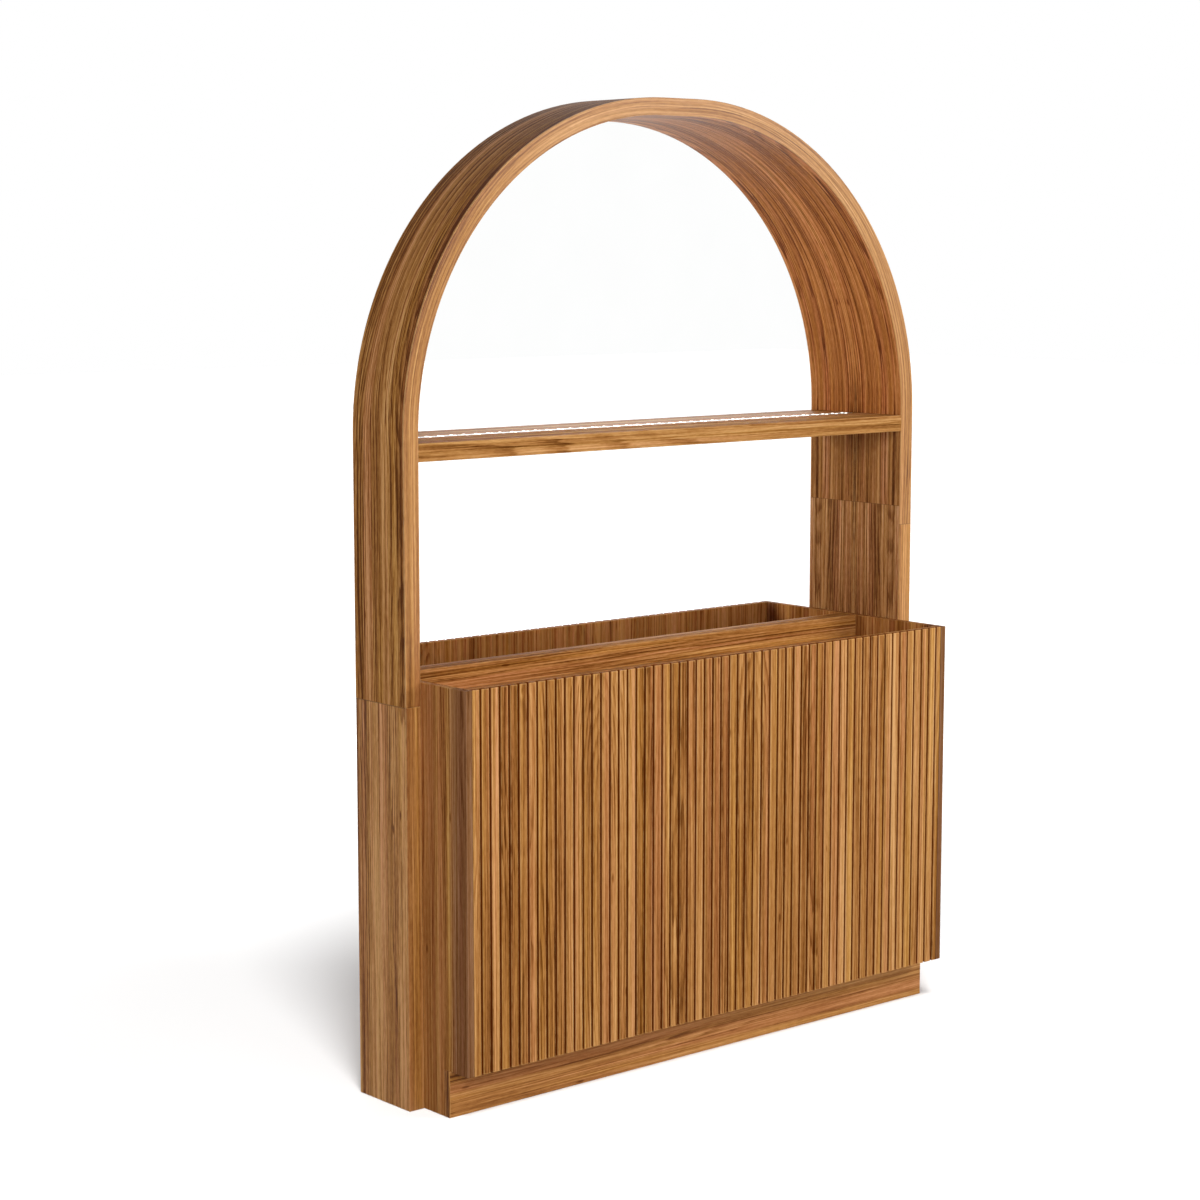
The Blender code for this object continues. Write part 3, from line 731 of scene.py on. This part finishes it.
def joint_line(height, stain, *lower_stains):
    """A hairline where two leaves of veneer meet; the stain of the arch, and those of the right leg with the
    height below which each one starts. On the inner lamination these stains are partly painted light and shade."""
    def shade(tree, place, colour):
        tint = stain
        for top, lower_stain in lower_stains:
            tint = blend(tree, add_group(tree, leaf_joint, Place=place, Height=top)["Below"], tint, lower_stain)
        line = add_group(tree, leaf_joint, Place=place, Height=height)["Line"]
        return blend(tree, line, blend(tree, 1.0, colour, tint, "MULTIPLY"), joint_stain)
    return shade


def strip_edges(node):
    """Corners of a bent board for the worn arrises, unrolled; its ends are no edges."""
    low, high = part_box(node)
    return (inner_radius, low.y, -far_off), (crown_radius, high.y, far_off)


def crown_painted_shade(tree, place):
    """Painted shade: the outer face darker from the legs up to the crown, where it faces up."""
    return spread(tree, axes_of(tree, place)["Z"], spring, arch_high.z, -0.03, -0.26)


def edging_tone(tree, place):
    # Painted light: the edging darker at its left end and lighter at its right.
    return add_group(tree, painted_light_drift, Place=place, Left=-0.16, Right=0.04)["Tone"]


leaf_height, edging_height, painted_shelf_shadow_top = 1.191, 1.146, 1.39
veneer(
    "arch_outer_lamination", round_arch(), (11.0, 0.31, 0.0), tone=crown_painted_shade, contrast=1.2, shine=0.02,
    shade=ply_behind(lambda tree, place: strip_of(tree, place)["Z"]),
    edges=strip_edges("arch_outer_lamination"),
)
# Inner lamination: its warm red stain is partly the leaf's colour, partly painted warm bounce light; on the right
# leg the darker, greyer stain from under the shelf down to the leaf joint is painted shadow of the shelf, partly
# the leaf's tint.
veneer(
    "arch_inner_lamination", round_arch(joint=leaf_height), (15.0, 0.77, 0.0), tone=-0.13, contrast=1.1, shine=0.04,
    shade=joint_line(
        leaf_height, (0.98, 0.82, 0.75), (painted_shelf_shadow_top, (0.83, 0.83, 0.88)), (leaf_height, (0.93, 0.99, 1.20))
    ),
    edges=strip_edges("arch_inner_lamination"),
)
veneer(
    "arch_front_edging", round_arch(turned=True, joint=edging_height), (19.0, 0.2, 0.1), tone=edging_tone,
    contrast=0.75, shine=0.28,
    shade=joint_line(edging_height, (0.97, 0.98, 0.98), (edging_height, (1.05, 1.04, 1.0))),
    edges=strip_edges("arch_front_edging"),
)


# Back board and mirror
# The arched board lies in the rebate of the arch and is screwed to the inner lamination around the glass. It
# holds the mirror, silvered float glass that stands on a ledge, up against the back of the arch.
stained("back_board", (33.0, 0.6, 0.0))
back_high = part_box("back_board")[1]
inset, arc_screws = 0.0250, 6
run = crown_radius - inset
points = [(side * (arch_high.x - inset), height) for side in (-1, 1) for height in (0.92, 1.09, 1.26, 1.42)]
for step in range(1, arc_screws + 1):
    angle = math.pi / 2 * step / arc_screws
    out, up = crown_flat / 2 + run * math.cos(angle), spring + run * math.sin(angle)
    points += [(side * out, up) for side in (-1, 1)]
screw_row("back_board_screws", points, back_high.y, "upper_unit")

material, tree, shader = new_finish("silvered_glass")
haze = mottle(tree, place_of(tree), (7.0, 7.0, 7.0), 3.0)
colour = ramp(tree, haze, ((0.3, (0.980, 0.985, 0.982)), (0.7, (0.992, 0.995, 0.993))))
tree.links.new(colour, shader.inputs["Base Color"])
tree.links.new(spread(tree, haze, 0.45, 0.75, 0.0, 0.012), shader.inputs["Roughness"])
shader.inputs["Metallic"].default_value = 1.0
wear("mirror", material)


# Display shelf
# A thick veneered board, grain level, with eased front edges and both ends housed in the arch. Its lacquer is
# rubbed flat and smooth, and a rebate along its back holds the light.
def shelf_shade(tree, place, colour):
    """A thin stain over the figure."""
    return blend(tree, 1.0, colour, (0.94, 0.98, 0.98), "MULTIPLY")


veneer(
    "display_shelf", "XYZ", (24.0, 0.15, 0.3), contrast=0.9, grain_depth=0.00003, shade=shelf_shade, **matt_lacquer
)


# Light of the shelf
# White chips on a tape, stuck in a shallow anodised channel in the rebate, along the foot of the mirror.
material, tree, shader = new_finish("anodised_channel")
drawn = mottle(tree, place_of(tree), (4.0, 900.0, 900.0), 2.0)
colour = ramp(tree, drawn, ((0.3, (0.60, 0.61, 0.62)), (0.7, (0.78, 0.79, 0.80))))
tree.links.new(colour, shader.inputs["Base Color"])
tree.links.new(spread(tree, drawn, 0.3, 0.7, 0.30, 0.45), shader.inputs["Roughness"])
shader.inputs["Metallic"].default_value = 1.0
relief(tree, shader, drawn, 0.0001)
wear("led_channel", material)

chip_pitch = 1 / 30
tape_low, tape_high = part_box("led_tape")
chips = int((tape_high.x - tape_low.x) / chip_pitch)
whole_chips = 100.0
material, tree, shader = new_finish("led_tape")
x, _, z = axes_of(tree, place_of(tree))
count = calc(tree, "MULTIPLY_ADD", x, 1 / chip_pitch, (chips % 2) / 2 + whole_chips)
from_middle = calc(tree, "ABSOLUTE", calc(tree, "SUBTRACT", calc(tree, "FRACT", count), 0.5))
from_chip = calc(tree, "MULTIPLY", from_middle, chip_pitch)
# Painted glow: the tape around each chip glows faintly, though only the chips give light.
painted_halo = spread(tree, from_chip, 0.0026, 0.0100, 1.0, 0.0)
raised = spread(tree, z, tape_high.z - 0.0012, tape_high.z - 0.0004, 0.0, 1.0)
chip = calc(tree, "MULTIPLY", spread(tree, from_chip, 0.0024, 0.0028, 1.0, 0.0), raised)
brightness = calc(tree, "MULTIPLY_ADD", chip, 0.85, calc(tree, "MULTIPLY", painted_halo, 0.15))
glow = ramp(tree, brightness, ((0.0, (0.0, 0.0, 0.0)), (0.15, (0.30, 0.29, 0.27)), (1.0, (1.0, 0.97, 0.92))))
colour = ramp(tree, chip, ((0.0, (0.80, 0.79, 0.76)), (1.0, (0.93, 0.90, 0.70))))
tree.links.new(glow, shader.inputs["Emission Color"])
tree.links.new(colour, shader.inputs["Base Color"])
shader.inputs["Emission Strength"].default_value = 2.4
shader.inputs["Roughness"].default_value = 0.4
wear("led_tape", material)


# Studio
# A pale floor, a white surround and four soft lights: a weak one low in front, stronger ones high to the right
# and to the left, and a weak one for the back. A broad light for the floor alone draws the object's shadow.
half, floor_gap = 30.0, 0.0005
mesh = bpy.data.meshes.new("studio_floor")
mesh.from_pydata([(-half, -half, 0), (half, -half, 0), (half, half, 0), (-half, half, 0)], [], [(0, 1, 2, 3)])
floor = bpy.data.objects.new("studio_floor", mesh)
floor.location = (0.0, 0.0, -floor_gap)
bpy.context.scene.collection.objects.link(floor)
material, tree, shader = new_finish("studio_floor")
shader.inputs["Roughness"].default_value = 0.9
shader.inputs["Specular IOR Level"].default_value = 0.0


def in_view(tree):
    """1 for what the camera sees, straight, in a mirror or through glass, and 0 for light on its way."""
    path = tree.nodes.new("ShaderNodeLightPath").outputs
    direct = calc(tree, "MAXIMUM", path["Is Camera Ray"], path["Is Glossy Ray"])
    return calc(tree, "MAXIMUM", direct, path["Is Transmission Ray"])


seen = in_view(tree)
tree.links.new(blend(tree, seen, (0.3, 0.3, 0.3), (0.8, 0.8, 0.8)), shader.inputs["Base Color"])
lift = spread(tree, calc_vector(tree, "LENGTH", place_of(tree)), 1.2, 4.0, 0.09, 0.60)
tree.links.new(joined(tree, lift, lift, lift), shader.inputs["Emission Color"])
tree.links.new(seen, shader.inputs["Emission Strength"])
mesh.materials.append(material)

world = bpy.data.worlds.new("studio")
bpy.context.scene.world = world
world.use_nodes = True
tree = world.node_tree
surround = tree.nodes["Background"]
height = axes_of(tree, tree.nodes.new("ShaderNodeTexCoord").outputs["Generated"])["Z"]
dome = spread(tree, height, 0.0, 0.7, 0.45, 0.04)
tree.links.new(calc(tree, "MAXIMUM", in_view(tree), dome), surround.inputs["Strength"])
surround.inputs["Color"].default_value = (1.0, 1.0, 1.0, 1.0)


def softbox(name, place, aim, width, height, power, mirrored):
    lamp = bpy.data.lights.new(name, "AREA")
    lamp.shape = "RECTANGLE"
    lamp.size = width
    lamp.size_y = height
    lamp.energy = power
    box = bpy.data.objects.new(name, lamp)
    box.location = place
    box.rotation_euler = (Vector(aim) - Vector(place)).to_track_quat("-Z", "Y").to_euler()
    box.visible_camera = False
    box.visible_glossy = mirrored
    bpy.context.scene.collection.objects.link(box)


softbox("front_softbox", (-1.0, -5.0, 1.5), (0.0, 0.0, 1.0), 2.6, 2.2, 55.0, False)
softbox("right_softbox", (4.0, -4.2, 3.3), (0.0, 0.0, 1.1), 2.2, 1.3, 175.0, True)
softbox("left_softbox", (-3.9, -3.6, 3.1), (0.0, 0.0, 1.0), 2.0, 2.0, 140.0, False)
softbox("back_softbox", (0.8, 4.8, 1.9), (0.0, 0.0, 1.0), 3.0, 2.2, 70.0, False)
lamp = bpy.data.lights.new("floor_light", "SUN")
lamp.energy = 2.7
lamp.angle = math.radians(14)
floor_light = bpy.data.objects.new("floor_light", lamp)
floor_light.rotation_euler = Vector((0.268, 0.474, -0.839)).to_track_quat("-Z", "Y").to_euler()
bpy.context.scene.collection.objects.link(floor_light)
floor_only = bpy.data.collections.new("floor_only")
floor_only.objects.link(floor)
floor_light.light_linking.receiver_collection = floor_only


# Camera
# At standing height, to the left of the front, with a long lens, looking a little down.
view = bpy.data.cameras.new("camera")
view.sensor_width = 36.0
view.lens = 79.838
camera = bpy.data.objects.new("camera", view)
camera.location = (-4.000566, -4.387249, 1.806662)
camera.rotation_euler = (math.radians(90 - 7.52034), 0.0, math.radians(-40.74065))
bpy.context.scene.collection.objects.link(camera)
bpy.context.scene.camera = camera
bpy.context.scene.view_settings.view_transform = "Standard"
